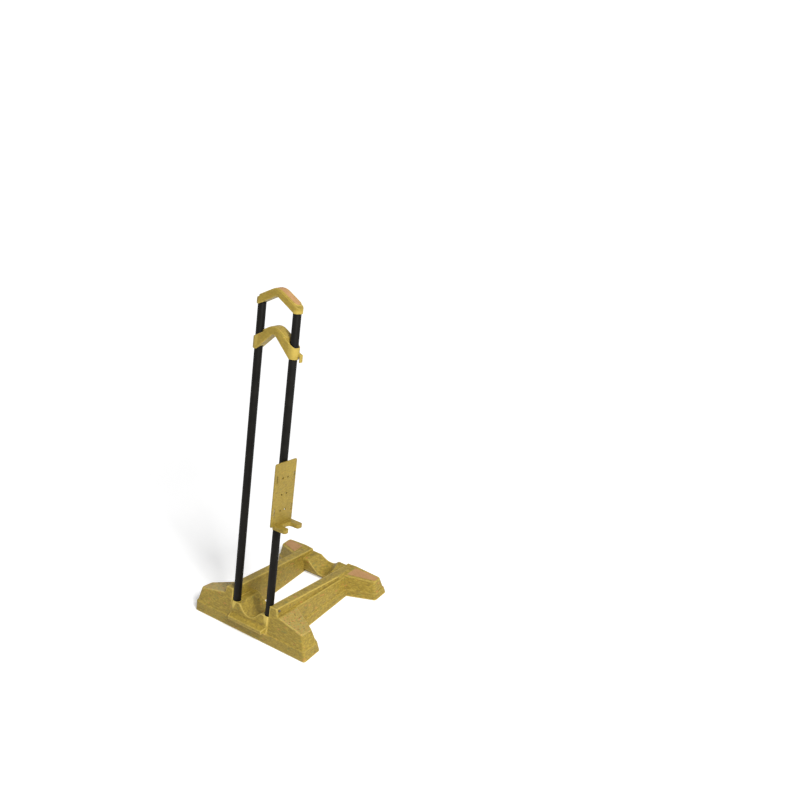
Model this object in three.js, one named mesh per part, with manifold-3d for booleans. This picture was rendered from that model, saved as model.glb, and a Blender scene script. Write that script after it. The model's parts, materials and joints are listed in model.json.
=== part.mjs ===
// A free-standing bicycle display stand: a moulded base holds the front wheel between two rails, and two
// leaning tubes carry a sliding tyre clamp, a carrying handle and an accessory plate beside the hub.
// Units are millimetres, +Z is up, the wheel rolls in along +Y and +X is the side of the accessory plate.
import * as THREE from 'three';
import { mergeVertices } from 'three/addons/utils/BufferGeometryUtils.js';
import Module from 'manifold-3d';

const wasm = await Module();
wasm.setup();

// Clearances that the whole stand shares
const seatGap = 0.3; // between two pieces that are fixed to each other
const runGap = 0.3; // between two pieces that slide or turn
const overrun = 6; // how far a cutting shape runs past the face that it opens
const roundSegments = 24; // facets round a tube, sleeve or bush
const screwSegments = 12; // facets round a screw
const cornerSegments = 5; // facets round a soft corner

// Base plan, measured from its front bottom edge
const baseWidth = 367;
const baseDepth = 348;
const baseClearance = 1.5; // the rubber feet hold the base this far off the floor
const rearEdgeBow = 5; // the rear edge stands this far ahead at the rails
const wallLeanShare = 0.235; // the walls over the plinth lean in by this much of their height
const footCornerRadius = 8;

// Plinth, the band that runs round the bottom of the base
const plinthFrontHeight = 29;
const plinthRearHeight = 17;
const plinthSetIn = 3; // its walls lean in by this much
const plinthLedge = 1.8; // of flat top round the foot of the walls

// Rails, one on each side of the wheel
const railInnerX = 60.5;
const railTopWidth = 22;
const railFrontHeight = 106.5; // of the top line, carried forward to the front edge
const railFallShare = 0.167;
const railBandDraft = 4.5;
const railLedgeWidth = 4;
const railLedgeFrontHeight = 85.5;
const railLedgeFallShare = 0.117;
const railOuterX = 101;
const bandRecess = { depth: 1.6, frontRim: 5, topRim: 3.5, rear: 262 }; // sunk in each rail's outer band

// Front feet, whose top faces start at the rails' ledges
const frontFootDepth = 59.5; // at the outer end
const frontFootRootDepth = 98; // where it meets the rail
const frontFootOuterHeight = 71.5; // of the outer end's top, carried forward to the front edge
const frontFootOuterFallShare = 0.2;
const frontFootEndInset = 16.5; // of the top face's outer end
const frontFootRearInset = 15.5; // of the top face's rear edge, at the outer end
const frontFootRearShare = 1.5; // share by which its plinth leans in further at the rear
const frontFootRootInset = 16.5; // and at the rail
const footRootDrop = 12; // the foot's root stays this far under the rail's ledge

// Rear feet, whose top faces run on from the rails' tops
const rearFootShort = { right: 8, left: 27.5 }; // of the front feet's ends
const rearFootTipDepth = 48.7; // back to the rear edge, at the right foot's tip
const rearFootRootDepth = 77; // and where it meets the rail
const rearFootRootHeight = 54.5; // heights of the top face at its front edge
const rearFootKneeHeight = 55.5;
const rearFootTipHeight = 47.6;
const rearFootKneeX = 88;
const rearFootFallShare = 0.03;
const rearFootFrontInset = 14.5;
const rearFootRearInset = 11;
const rearFootEndInset = 10;

// Beams under the cradles
const frontBeamDepth = 96;
const frontBeamHeight = 30;
const rearBeamDepth = 52;
const rearBeamHeight = 12;

// Underside of the base: pockets with ribs between them
const baseWall = 5;
const ribThickness = 4;
const railPocketCount = 3;
const railPocketFront = 22;
const railPocketRearWall = 58; // of the base behind the last pocket
const railPocketCover = 14; // of plastic between a pocket and the ledge
const frontFootPocket = { width: 49, front: 15, rear: 62, height: 52 };
const rearFootPocket = { width: 41, depth: 31, rearWall: 18, height: 38 };
const footPocketInnerX = 92;
const frontBeamSkin = 6; // of the beam's top over its pocket
const frontBeamPocketFront = 32;
const nosePocket = { halfWidth: 37, front: 9, rear: 27, height: 20 };

// The tyre that the cradles are shaped for
const grooveRadius = 28;
const grooveArcDegrees = 46;
const grooveFlareShare = 1.03; // rise of the groove's straight sides over their run
const grooveTop = 120;
const frontGrooveHeight = 55; // of the groove's floor at the front edge of the base
const frontGrooveFallShare = 0.29;
const rearGrooveHeight = 15.5; // of the groove's floor at the front of the rear cradle
const rearGrooveRiseShare = 0.3;

// Front cradle, in profile from its nose to its rear end
const noseReach = 10.7;
const noseLowerHeight = 33.5;
const noseUpperHeight = 42.5;
const noseUpperInset = 0.7;
const noseBackY = 4.1;
const noseBackHeight = 45.7;
const noseBackInset = 2.5; // of the nose's ends from the cradle's sides
const noseEndTaper = 3.2;
const noseRootReach = 8; // the nose runs this far into the ramp behind it
const rampTopY = 13.5;
const rampTopHeight = 74;
const rampEndChamfer = 3; // at each end of the ramp, beside the rail
const frontCradleDepth = 95;
const frontCradlePocket = { inner: 45, outer: 56, front: 46, rear: 88, height: 54 };

// Rear cradle
const rearCradleDepth = 61; // back to the rear edge of the base
const rearCradleHeight = 47;
const rearCradleEdgeDrop = 4;
const rearCradlePocket = { inner: 44, outer: 56, front: 7, rear: 41, height: 40 }; // behind its front face

// Uprights: two tubes that lean back
const tubeRadius = 10;
const tubeWall = 1.5;
const tubeSpacing = 106;
const tubeLeanDegrees = 11.78;
const tubeAxisY = 10.1; // where the axes meet the underside of the base
const tubeBottom = 24;
const tubeTop = 846;
const tubePlugLength = 24;
const tubePlugRim = 2;

// Cross bolts that hold the tubes to the rails
const crossBoltHeight = 94;
const crossBolt = { radius: 2.5, headRadius: 3.4, headHeight: 2.5 };
const crossBoltSink = 1; // of the head's seat in the rail's band
const crossBoltReach = 6; // of the bolt past the tube's axis
const crossNutHeight = 14; // of the round nut inside the tube
const hexKeyRadius = 1.5;
const hexKeyDepth = 1.5;

// Handle, whose heights are along the tubes and over its own bottom
const sleeveRadius = 13.8;
const handleOverlap = 8; // of its sleeves over the tubes
const handleArch = { outer: 47.6, outerFallShare: 0.54, inner: 30, innerFallShare: 0.56, shoulder: 10.5 };
const handleRimRaise = 4;
const handleRimHalfDepth = 12.2;
const handleRimEndX = 60;
const handleEndX = 65.8;
const gripMargin = 3;
const gripRaise = 0.6;
const gripThickness = 3;
const handleScrewRise = 4;
const handleScrew = { radius: 1.5, headRadius: 2.8, headHeight: 1.6, length: 15 };

// Tyre clamp, whose heights are along the tubes and over its own bottom
const clampDrop = 107; // of its bottom under the handle's
const clampArch = { outer: 65.2, outerFallShare: 0.6, inner: 49, innerFallShare: 0.97, shoulder: 28 };
const clampRim = { raise: 5, halfDepth: 13, endX: 40 };
const apexInnerRound = 9;
const apexOuterRound = 34;
const shoulderRound = 4;
const bushWall = 1.2;
const clampBushRise = 10.5;
const clampBushLength = 5.8;
const hookGap = 3.5;
const hookThickness = 4;
const hookFront = 0; // of the hook from the tube's axis, towards the rear
const hookRear = 9;
const hookRise = 16;
const hookArmThickness = 6;
const hookFall = 4;
const hookDrop = 6; // of the hook's tip under the clamp's bottom

// Accessory plate, which stands beside the +X tube
const plateFaceX = 70;
const plateThickness = 2.8;
const plateFront = 45.8; // ahead of the tube's axis
const plateRear = 30; // behind it
const plateBottom = 325;
const plateTop = 485.5;
const plateCorner = 5;
const shelfThickness = 10;
const shelfFront = 36;
const shelfRear = 31;
const shelfReach = 36;
const shelfBottom = 318.5;
const prongRound = 7;
const notchRound = 10;
const notchCentre = 3.5; // ahead of the tube's axis
const notchWidth = 32;
const notchDepth = 27;
const holeRadius = 2.6;
const holeCentre = 6.7; // ahead of the tube's axis
const holeColumnSpacing = 16.8;
const holeRowSpacing = 41.7;
const holeRowCount = 3;
const holeMiddle = 402.7;
const strapSlotLength = 19;
const strapSlotWidth = 3;
const strapSlotCentre = 5.8; // ahead of the tube's axis
const strapSlotSpacing = 61;
const strapSlotRise = 83;
const strapSlotMiddle = 403.5;

// Collars that hold the plate to its tube
const collarHeight = 24;
const collarWall = 3.5;
const collarSpacing = 42;
const collarMiddle = 403;
const collarRim = 1.5; // of the collar beyond each end of its bush
const collarEar = { reach: 9, width: 12, gap: 2 };
const collarFlange = { width: 44, thickness: 4, screwSpacing: 36 };
const plateScrew = { radius: 1.5, headRadius: 3, headHeight: 1.6, length: 6 };
const pinchScrew = { radius: 1.5, headRadius: 2.8, headHeight: 1.6, length: 10.5 };
const pinchNut = { radius: 3.2, height: 2.4 };

// Screws from below into the cradles
const cradleScrew = { radius: 2.5, headRadius: 4.5, headHeight: 3, length: 20 };
const cradleScrewX = 36;
const frontCradleScrewY = { front: 52, rear: 80 };
const rearCradleScrewSetBack = { front: 17, rear: 41 }; // behind its front face
const rearCradleScrewSeat = 6;

// Pads
const rubberFootRadius = 12;
const rubberFootHeight = 4;
const rubberFootMargin = { front: 27, rear: 24 }; // of its centre from the front and rear edges
const rubberFootInset = { front: 23.5, rear: 25.5 }; // of its centre from the end of its foot
const corkThickness = 3;
const corkProud = 0.6;
const corkInnerX = 91.5;
const corkMargin = { front: 8, end: 5, rearInner: 9, rearOuter: 3.5 };

const plasticLook = { color: 0xb79c51, roughness: 0.62, metalness: 0 };
const corkLook = { color: 0xb98f63, roughness: 0.9, metalness: 0 };
const tubeLook = { color: 0x282521, roughness: 0.38, metalness: 0.5 };
const steelLook = { color: 0x55565a, roughness: 0.35, metalness: 0.9 };
const rubberLook = { color: 0x1b1b1b, roughness: 0.9, metalness: 0 };
const bushLook = { color: 0x2c2c2c, roughness: 0.5, metalness: 0 };

const { degToRad, lerp, mapLinear } = THREE.MathUtils;
const tubeLean = degToRad(tubeLeanDegrees);
const halfWidth = baseWidth / 2;
const rearFootReach = { right: halfWidth - rearFootShort.right, left: halfWidth - rearFootShort.left };
const rearBeamFront = baseDepth - rearBeamDepth;
const rearCradleFront = baseDepth - rearCradleDepth;
const railPocketRear = baseDepth - railPocketRearWall;
const rubberFootY = { front: rubberFootMargin.front, rear: baseDepth - rubberFootMargin.rear };
const rearCradleScrewY = {
  front: rearCradleFront + rearCradleScrewSetBack.front, rear: rearCradleFront + rearCradleScrewSetBack.rear,
};
const axisX = tubeSpacing / 2;
const up = [0, 0, 1];

// Turns a closed geometry into a solid that can be joined and cut, with its faces pointing out
function solid(geometry) {
  const bare = geometry.clone();
  for (const name of Object.keys(bare.attributes)) if (name !== 'position') bare.deleteAttribute(name);
  const merged = mergeVertices(bare);
  const index = merged.index.array;
  const faces = [];
  for (let i = 0; i < index.length; i += 3) {
    const [a, b, c] = [index[i], index[i + 1], index[i + 2]];
    if (a !== b && b !== c && c !== a) faces.push([a, b, c]);
  }
  const vertProperties = merged.attributes.position.array;
  const build = (list) => {
    const triVerts = Uint32Array.from(list.flat());
    return new wasm.Manifold(new wasm.Mesh({ numProp: 3, vertProperties, triVerts }));
  };
  const body = build(faces);
  return body.volume() > 0 ? body : build(faces.map(([a, b, c]) => [a, c, b]));
}

// Turns a solid back into a mesh with its own material
function piece(name, body, look) {
  const { vertProperties, triVerts } = body.getMesh();
  const indexed = new THREE.BufferGeometry();
  indexed.setAttribute('position', new THREE.BufferAttribute(vertProperties, 3));
  indexed.setIndex(new THREE.BufferAttribute(triVerts, 1));
  const geometry = indexed.toNonIndexed();
  geometry.computeVertexNormals();
  const mesh = new THREE.Mesh(geometry, new THREE.MeshStandardMaterial({ ...look, flatShading: true }));
  mesh.name = name;
  return mesh;
}

// A piece on each side, the left one mirrored, with a name for each
function pair(name, right, look, left = right) {
  return [piece(`${name}_right`, right, look), piece(`${name}_left`, mirrored(left), look)];
}

// A family of pieces, made for each named place
function family(places, make) {
  return Object.entries(places).flatMap(([place, value]) => make(place, value));
}

const join = (solids) => solids.reduce((sum, next) => sum.add(next));
const mirrored = (body) => body.mirror([1, 0, 0]);
const bothSides = (body) => body.add(mirrored(body));

function box(x, y, z) {
  const geometry = new THREE.BoxGeometry(x[1] - x[0], y[1] - y[0], z[1] - z[0]);
  geometry.translate((x[0] + x[1]) / 2, (y[0] + y[1]) / 2, (z[0] + z[1]) / 2);
  return solid(geometry);
}

// A round bar between two points
function bar(from, to, radius, segments = roundSegments) {
  const [start, end] = [new THREE.Vector3(...from), new THREE.Vector3(...to)];
  const along = end.clone().sub(start);
  const geometry = new THREE.CylinderGeometry(radius, radius, along.length(), segments);
  const turn = new THREE.Quaternion().setFromUnitVectors(new THREE.Vector3(0, 1, 0), along.clone().normalize());
  geometry.applyQuaternion(turn);
  geometry.translate(...start.add(end).multiplyScalar(1 / 2).toArray());
  return solid(geometry);
}

// A ring or bar round an upright axis at x, between two heights
const post = (x, heights, radius) => bar([x, 0, heights[0]], [x, 0, heights[1]], radius);
const ring = (x, heights, inner, outer) => {
  return post(x, heights, outer).subtract(post(x, [heights[0] - overrun, heights[1] + overrun], inner));
};

// Joins rings of as many points into a closed skin, with the given triangles on each end
function skin(rings, cap) {
  const count = rings[0].length;
  const last = (rings.length - 1) * count;
  const faces = cap.flatMap(([a, b, c]) => [c, b, a, last + a, last + b, last + c]);
  for (let start = 0; start < last; start += count) {
    for (let i = 0; i < count; i += 1) {
      const [a, b] = [start + i, start + ((i + 1) % count)];
      faces.push(a, b, b + count, a, b + count, a + count);
    }
  }
  const geometry = new THREE.BufferGeometry();
  geometry.setAttribute('position', new THREE.Float32BufferAttribute(rings.flat(2), 3));
  geometry.setIndex(faces);
  return solid(geometry);
}

// A solid between rings that cross the X or the Y axis
function loft(rings, axis) {
  const flatten = ([x, y, z]) => (axis === 'x' ? new THREE.Vector2(y, z) : new THREE.Vector2(z, x));
  const clockwise = THREE.ShapeUtils.isClockWise(rings[0].map(flatten));
  const turned = clockwise ? rings.map((one) => [...one].reverse()) : rings;
  return skin(turned, THREE.ShapeUtils.triangulateShape(turned[0].map(flatten), []));
}

// A solid between rings that are each given as two chains, which keeps the folds from chain to chain
function ladder(rings) {
  const steps = rings[0][0].length;
  const last = 2 * steps - 1;
  const cap = [];
  for (let i = 0; i < steps - 1; i += 1) cap.push([i, i + 1, last - i - 1], [i, last - i - 1, last - i]);
  return skin(rings.map(([one, other]) => [...one, ...[...other].reverse()]), cap);
}

// The points of a corner rounded by a radius
function roundCorner(before, corner, after, radius) {
  const [start, tip, end] = [before, corner, after].map(([u, v]) => new THREE.Vector2(u, v));
  const [back, ahead] = [start.sub(tip), end.sub(tip)];
  const reach = radius / Math.tan(Math.abs(back.angleTo(ahead)) / 2);
  const enter = tip.clone().addScaledVector(back.normalize(), reach);
  const leave = tip.clone().addScaledVector(ahead.normalize(), reach);
  return new THREE.QuadraticBezierCurve(enter, tip, leave).getPoints(cornerSegments).map(({ x, y }) => [x, y]);
}

// A closed outline through corners [u, v, radius], of which some are sharp
function outline(corners) {
  const points = corners.flatMap(([u, v, radius = 0], i) => {
    const before = corners.at(i - 1);
    const after = corners[(i + 1) % corners.length];
    return radius > 0 ? roundCorner(before, [u, v], after, radius) : [[u, v]];
  });
  return new THREE.Shape(points.map(([u, v]) => new THREE.Vector2(u, v)));
}

// Carries a shape along an axis; it is drawn in Y and Z, in X and Z, or in X and Y
function extrude(axis, shape, [from, to]) {
  const geometry = new THREE.ExtrudeGeometry(shape, { depth: to - from, curveSegments: 8, bevelEnabled: false });
  if (axis !== 'z') geometry.rotateX(Math.PI / 2);
  if (axis === 'x') geometry.rotateZ(Math.PI / 2);
  if (axis === 'x') geometry.translate(from, 0, 0);
  if (axis === 'y') geometry.translate(0, to, 0);
  if (axis === 'z') geometry.translate(0, 0, from);
  return solid(geometry);
}

// A plan with straight sides and round ends
function pill(endX, radius) {
  const shape = new THREE.Shape();
  shape.absarc(endX - radius, 0, radius, -Math.PI / 2, Math.PI / 2);
  shape.absarc(radius - endX, 0, radius, Math.PI / 2, (3 * Math.PI) / 2);
  return shape;
}

// A screw that goes from its seat in a direction, with its head behind the seat, and the hole for it
const pointsAlong = (seat, toward) => (distance) => seat.map((value, i) => value + toward[i] * distance);

function screw(seat, toward, { radius, headRadius, headHeight, length }) {
  const at = pointsAlong(seat, toward);
  const head = bar(at(-seatGap - headHeight), at(-seatGap), headRadius, screwSegments);
  return head.add(bar(at(-seatGap - headHeight / 2), at(length), radius, screwSegments));
}

function screwHole(seat, toward, { radius, headRadius, headHeight, length }, run = overrun) {
  const at = pointsAlong(seat, toward);
  const recess = bar(at(-headHeight - run), at(0), headRadius + seatGap, screwSegments);
  return recess.add(bar(at(-headHeight), at(length + seatGap), radius + seatGap, screwSegments));
}

// A hexagon nut on an axis along X, with the hole for its bolt
function nut(centre, [from, to], radius, boltRadius) {
  const place = (x) => [x, centre[0], centre[1]];
  const hole = bar(place(from - overrun), place(to + overrun), boltRadius + seatGap, screwSegments);
  return bar(place(from), place(to), radius, 6).subtract(hole);
}

// Heights along the base, and how far its walls stand in at a height
const railTop = (y) => railFrontHeight - railFallShare * y;
const railLedge = (y) => railLedgeFrontHeight - railLedgeFallShare * y;
const plinthTop = (y) => lerp(plinthFrontHeight, plinthRearHeight, y / baseDepth);
const wallSetIn = plinthSetIn + plinthLedge;
const frontWall = (z) => wallSetIn + wallLeanShare * (z - plinthFrontHeight);
const railRearY = baseDepth - rearEdgeBow;
const rearWall = (z) => railRearY - wallSetIn - wallLeanShare * (z - plinthRearHeight);
const ledgeInnerX = railInnerX + railTopWidth + railBandDraft;
const ledgeOuterX = ledgeInnerX + railLedgeWidth;
const tubeAxisAt = (z) => tubeAxisY + Math.tan(tubeLean) * z;

// The point at x where a leaning wall meets a line of heights
function meet(x, wall, height) {
  let y = wall(height(0));
  for (let step = 0; step < 6; step += 1) y = wall(height(y));
  return [x, y, height(y)];
}

function rail() {
  const walls = [[0, plinthSetIn, frontWall], [railRearY, -plinthSetIn, rearWall]];
  const ends = walls.map(([floorY, lean, wall]) => {
    const plinth = (x, setIn) => [[x, floorY, 0], [x - setIn, floorY + lean, plinthTop(floorY + lean)]];
    const inner = [plinthTop, railLedge, railLedge, railTop].map((height) => meet(railInnerX, wall, height));
    const outer = [
      meet(railOuterX - wallSetIn, wall, plinthTop), meet(ledgeOuterX, wall, railLedge),
      meet(ledgeInnerX, wall, railLedge), meet(railInnerX + railTopWidth, wall, railTop),
    ];
    return [[...plinth(railInnerX, 0), ...inner], [...plinth(railOuterX, plinthSetIn), ...outer]];
  });
  return ladder(ends);
}

// The recess in a rail's band, which leaves a rim at the front and along the top
function bandSpace() {
  const section = (y) => {
    const [low, high] = [railLedge(y), railTop(y) - bandRecess.topRim];
    const bandX = (z) => mapLinear(z, railLedge(y), railTop(y), ledgeInnerX, railInnerX + railTopWidth);
    const [inner, outer] = [(z) => bandX(z) - bandRecess.depth, ledgeOuterX + overrun];
    return [[inner(low), y, low], [outer, y, low], [outer, y, high], [inner(high), y, high]];
  };
  const front = frontWall(railTop(0)) + bandRecess.frontRim;
  return loft([section(front), section(bandRecess.rear)], 'y');
}

// A foot in levels: its floor, both edges of its plinth's ledge and its top face, out to a rounded end
function foot(kneeX, plan, top, rearShare = 1) {
  const plinthLevel = (setIn, height) => ({
    endX: plan.endX - setIn, front: (x) => plan.front(x) + setIn,
    rear: (x) => plan.rear(x) - rearShare * setIn, height,
  });
  const topOfPlinth = (x, y) => plinthTop(y);
  const plinth = [plinthSetIn, wallSetIn].map((setIn) => plinthLevel(setIn, topOfPlinth));
  return ladder([plinthLevel(0, () => 0), ...plinth, top].map(({ endX, front, rear, height }) => {
    const chain = (edge, other) => {
      const corner = [endX, edge(endX)];
      const round = roundCorner([kneeX, edge(kneeX)], corner, [endX, other(endX)], footCornerRadius);
      const points = [[railInnerX, edge(railInnerX)], [kneeX, edge(kneeX)], ...round];
      return points.map(([x, y]) => [x, y, height(x, y)]);
    };
    return [chain(front, rear), chain(rear, front)];
  }));
}

function frontFoot() {
  const topEndX = halfWidth - frontFootEndInset;
  const rear = (x) => mapLinear(x, railOuterX, halfWidth, frontFootRootDepth, frontFootDepth);
  const rearInset = (x) => mapLinear(x, ledgeOuterX, topEndX, frontFootRootInset, frontFootRearInset);
  const outerHeight = (y) => frontFootOuterHeight - frontFootOuterFallShare * y;
  const top = (x, y) => {
    if (x < ledgeOuterX) return railLedge(y) - footRootDrop;
    return mapLinear(x, ledgeOuterX, topEndX, railLedge(y), outerHeight(y));
  };
  return foot(ledgeOuterX, { endX: halfWidth, front: () => 0, rear }, {
    endX: topEndX, front: (x) => meet(x, frontWall, (y) => top(x, y))[1], rear: (x) => rear(x) - rearInset(x),
    height: top,
  }, frontFootRearShare);
}

// Edges and top face of a rear foot; the left one ends sooner
const rearFootFront = (x) => {
  return baseDepth - mapLinear(x, railOuterX, rearFootReach.right, rearFootRootDepth, rearFootTipDepth);
};
const rearFootRear = (x) => mapLinear(x, railInnerX, rearFootReach.right, railRearY, baseDepth);
function rearFootTop(x, y) {
  const fall = rearFootFallShare * (y - rearFootFront(rearFootKneeX) - rearFootFrontInset);
  if (x < rearFootKneeX) {
    return mapLinear(x, railInnerX, rearFootKneeX, rearFootRootHeight, rearFootKneeHeight) - fall;
  }
  return mapLinear(x, rearFootKneeX, rearFootReach.right, rearFootKneeHeight, rearFootTipHeight) - fall;
}

function rearFoot(endX) {
  return foot(rearFootKneeX, { endX, front: rearFootFront, rear: rearFootRear }, {
    endX: endX - rearFootEndInset, front: (x) => rearFootFront(x) + rearFootFrontInset,
    rear: (x) => rearFootRear(x) - rearFootRearInset, height: rearFootTop,
  });
}

// A profile drawn in Y and Z and carried across the stand from -x to +x
const across = (profile, x) => extrude('x', outline(profile), [-x, x]);

function beams() {
  const front = across([
    [0, 0], [plinthSetIn, plinthTop(plinthSetIn)], [wallSetIn, plinthTop(wallSetIn)],
    [frontWall(frontBeamHeight), frontBeamHeight],
    [frontBeamDepth, frontBeamHeight], [frontBeamDepth, 0],
  ], railInnerX + seatGap);
  const rear = across([
    [rearBeamFront, 0], [rearBeamFront, rearBeamHeight],
    [railRearY - (plinthSetIn * rearBeamHeight) / plinthRearHeight, rearBeamHeight], [railRearY, 0],
  ], railInnerX + seatGap);
  return front.add(rear);
}

// Pockets in the underside, on the +X side and across the middle
function sidePockets() {
  const pocketX = [railInnerX + baseWall, ledgeOuterX - baseWall];
  const pitch = (railPocketRear - railPocketFront + ribThickness) / railPocketCount;
  const footPocket = ({ width, height }, depths) => {
    return box([footPocketInnerX, footPocketInnerX + width], depths, [-overrun, height]);
  };
  const behindPocket = baseDepth - rearFootPocket.rearWall;
  const pockets = [
    footPocket(frontFootPocket, [frontFootPocket.front, frontFootPocket.rear]),
    footPocket(rearFootPocket, [behindPocket - rearFootPocket.depth, behindPocket]),
  ];
  for (let i = 0; i < railPocketCount; i += 1) {
    const front = railPocketFront + i * pitch;
    const rear = front + pitch - ribThickness;
    pockets.push(box(pocketX, [front, rear], [-overrun, railLedge(rear) - railPocketCover]));
  }
  return join(pockets);
}

function middlePockets() {
  const beamHalf = railInnerX - baseWall;
  const beam = box(
    [-beamHalf, beamHalf], [frontBeamPocketFront, frontBeamDepth - baseWall],
    [-overrun, frontBeamHeight - frontBeamSkin],
  );
  const { halfWidth: noseHalf, front, rear, height } = nosePocket;
  return beam.add(box([-noseHalf, noseHalf], [front, rear], [-overrun, height]));
}

// The space of the tyre, whose floor follows a line of heights
function tyreSpace(floor, [from, to]) {
  const arc = degToRad(grooveArcDegrees);
  const section = (y) => {
    const half = [0, 1 / 4, 1 / 2, 3 / 4, 1].map((share) => {
      const angle = arc * share;
      return [grooveRadius * Math.sin(angle), floor(y) + grooveRadius * (1 - Math.cos(angle))];
    });
    const [edgeX, edgeZ] = half.at(-1);
    half.push([edgeX + (grooveTop - edgeZ) / grooveFlareShare, grooveTop]);
    const other = half.slice(1).reverse().map(([x, z]) => [-x, z]);
    return [...other, ...half].map(([x, z]) => [x, y, z]);
  };
  return loft([section(from), section(to)], 'y');
}

const frontTyreSpace = () => {
  const floor = (y) => frontGrooveHeight - frontGrooveFallShare * y;
  return tyreSpace(floor, [-noseReach - overrun, frontBeamDepth + overrun]);
};
const rearTyreSpace = () => {
  const floor = (y) => rearGrooveHeight + rearGrooveRiseShare * (y - rearCradleFront);
  return tyreSpace(floor, [rearCradleFront - overrun, railRearY + overrun]);
};

// The space of a tube in the base, on the +X side
function tubeSpace() {
  const at = (distance) => [
    axisX, tubeAxisY + Math.sin(tubeLean) * distance, Math.cos(tubeLean) * distance,
  ];
  return bar(at(tubeBottom - seatGap), at(tubeTop / 2), tubeRadius + seatGap);
}

// Where the cross bolt's head seats in the slope of the rail's band
const crossBoltY = tubeAxisAt(crossBoltHeight);
const bandFaceX = mapLinear(
  crossBoltHeight, railTop(crossBoltY), railLedge(crossBoltY), railInnerX + railTopWidth, ledgeInnerX,
);
const crossBoltSeat = [bandFaceX - crossBoltSink, crossBoltY, crossBoltHeight];
const crossBoltSize = { ...crossBolt, length: crossBoltSeat[0] - axisX + crossBoltReach };

function crossBoltBody() {
  const at = (x) => [x, crossBoltY, crossBoltHeight];
  const faceX = crossBoltSeat[0] + seatGap + crossBolt.headHeight;
  const key = bar(at(faceX - hexKeyDepth), at(faceX + overrun), hexKeyRadius, 6);
  return screw(crossBoltSeat, [-1, 0, 0], crossBoltSize).subtract(key);
}

// Screws from below into a cradle, at two depths on each side
const frontCradleSeat = (y) => [cradleScrewX, y, frontBeamHeight - frontBeamSkin];
const rearCradleSeat = (y) => [cradleScrewX, y, rearCradleScrewSeat];
function cradleScrewHoles(seat, depths) {
  return bothSides(join(Object.values(depths).map((y) => screwHole(seat(y), up, cradleScrew))));
}

function rubberFoot(x, y, gap) {
  const heights = [-baseClearance - gap, rubberFootHeight - baseClearance + gap];
  return bar([x, y, heights[0]], [x, y, heights[1]], rubberFootRadius + gap);
}

// Centres of the rubber feet along X, on each side
const rubberFootX = {
  front: { right: halfWidth - rubberFootInset.front, left: halfWidth - rubberFootInset.front },
  rear: { right: rearFootReach.right - rubberFootInset.rear, left: rearFootReach.left - rubberFootInset.rear },
};

// The cork inlay of a rear foot, between two heights over the foot's top face
function corkInlay(reach, gap, [low, high]) {
  const endX = reach - rearFootEndInset - corkMargin.end + gap;
  const innerX = corkInnerX - gap;
  const frontY = (x) => rearFootFront(x) + rearFootFrontInset + corkMargin.front - gap;
  const { rearInner, rearOuter } = corkMargin;
  const rearY = (x) => {
    const margin = mapLinear(x, corkInnerX, reach - rearFootEndInset, rearInner, rearOuter);
    return rearFootRear(x) - rearFootRearInset - margin + gap;
  };
  const corners = [
    [innerX, frontY(innerX)], [endX, frontY(endX)], [endX, rearY(endX)], [innerX, rearY(innerX)],
  ];
  const rings = [low, high].map((rise) => corners.map(([x, y]) => [x, y, rearFootTop(x, y) + rise]));
  return skin(rings, [[0, 1, 2], [0, 2, 3]]);
}
const corkPad = (reach) => corkInlay(reach, 0, [corkProud - corkThickness, corkProud]);
const corkRecess = (reach) => corkInlay(reach, seatGap, [corkProud - corkThickness - seatGap, overrun]);

// One side of the base, drawn on the +X side
function baseSide(side) {
  const feet = family(rubberFootY, (place, y) => [rubberFoot(rubberFootX[place][side], y, seatGap)]);
  const reach = rearFootReach[side];
  const boltHole = screwHole(crossBoltSeat, [-1, 0, 0], crossBoltSize);
  return join([rail().subtract(bandSpace()), frontFoot(), rearFoot(reach)])
    .subtract(sidePockets())
    .subtract(join([tubeSpace(), corkRecess(reach), boltHole, ...feet]));
}

function baseFrame() {
  return join([baseSide('right'), mirrored(baseSide('left')), beams().subtract(frontTyreSpace())])
    .subtract(middlePockets())
    .subtract(bothSides(tubeSpace()))
    .subtract(cradleScrewHoles(frontCradleSeat, frontCradleScrewY))
    .subtract(cradleScrewHoles(rearCradleSeat, rearCradleScrewY));
}

function frontCradle() {
  const cradleHalf = railInnerX - seatGap;
  const bottom = frontBeamHeight + seatGap;
  const rampRear = rampTopHeight - railFallShare * (frontCradleDepth - rampTopY);
  const slice = (x, setBack) => [
    [x, noseBackY + setBack, bottom], [x, noseBackY + setBack, noseBackHeight],
    [x, rampTopY + setBack, rampTopHeight], [x, frontCradleDepth, rampRear], [x, frontCradleDepth, bottom],
  ];
  const block = loft([
    slice(-cradleHalf, rampEndChamfer), slice(rampEndChamfer - cradleHalf, 0),
    slice(cradleHalf - rampEndChamfer, 0), slice(cradleHalf, rampEndChamfer),
  ], 'x');
  const backHalf = cradleHalf - noseBackInset;
  const growShare = noseEndTaper / (noseBackY + noseReach);
  const riseShare = (noseBackHeight - noseUpperHeight) / (noseBackY + noseReach - noseUpperInset);
  const nose = (half, [lowY, low], [highY, high]) => [
    [-half, lowY, low], [half, lowY, low], [half, highY, high], [-half, highY, high],
  ];
  const rootY = noseBackY + noseRootReach;
  const rootHeight = noseBackHeight + riseShare * noseRootReach;
  const noseSolid = loft([
    nose(backHalf - noseEndTaper, [-noseReach, noseLowerHeight], [noseUpperInset - noseReach, noseUpperHeight]),
    nose(backHalf, [noseBackY, bottom], [noseBackY, noseBackHeight]),
    nose(backHalf + growShare * noseRootReach, [rootY, bottom], [rootY, rootHeight]),
  ], 'y');
  const { inner, outer, front, rear, height } = frontCradlePocket;
  const pocket = box([inner, outer], [front, rear], [bottom - overrun, height]);
  return block.add(noseSolid)
    .subtract(frontTyreSpace())
    .subtract(bothSides(tubeSpace().add(pocket)))
    .subtract(cradleScrewHoles(frontCradleSeat, frontCradleScrewY));
}

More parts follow.
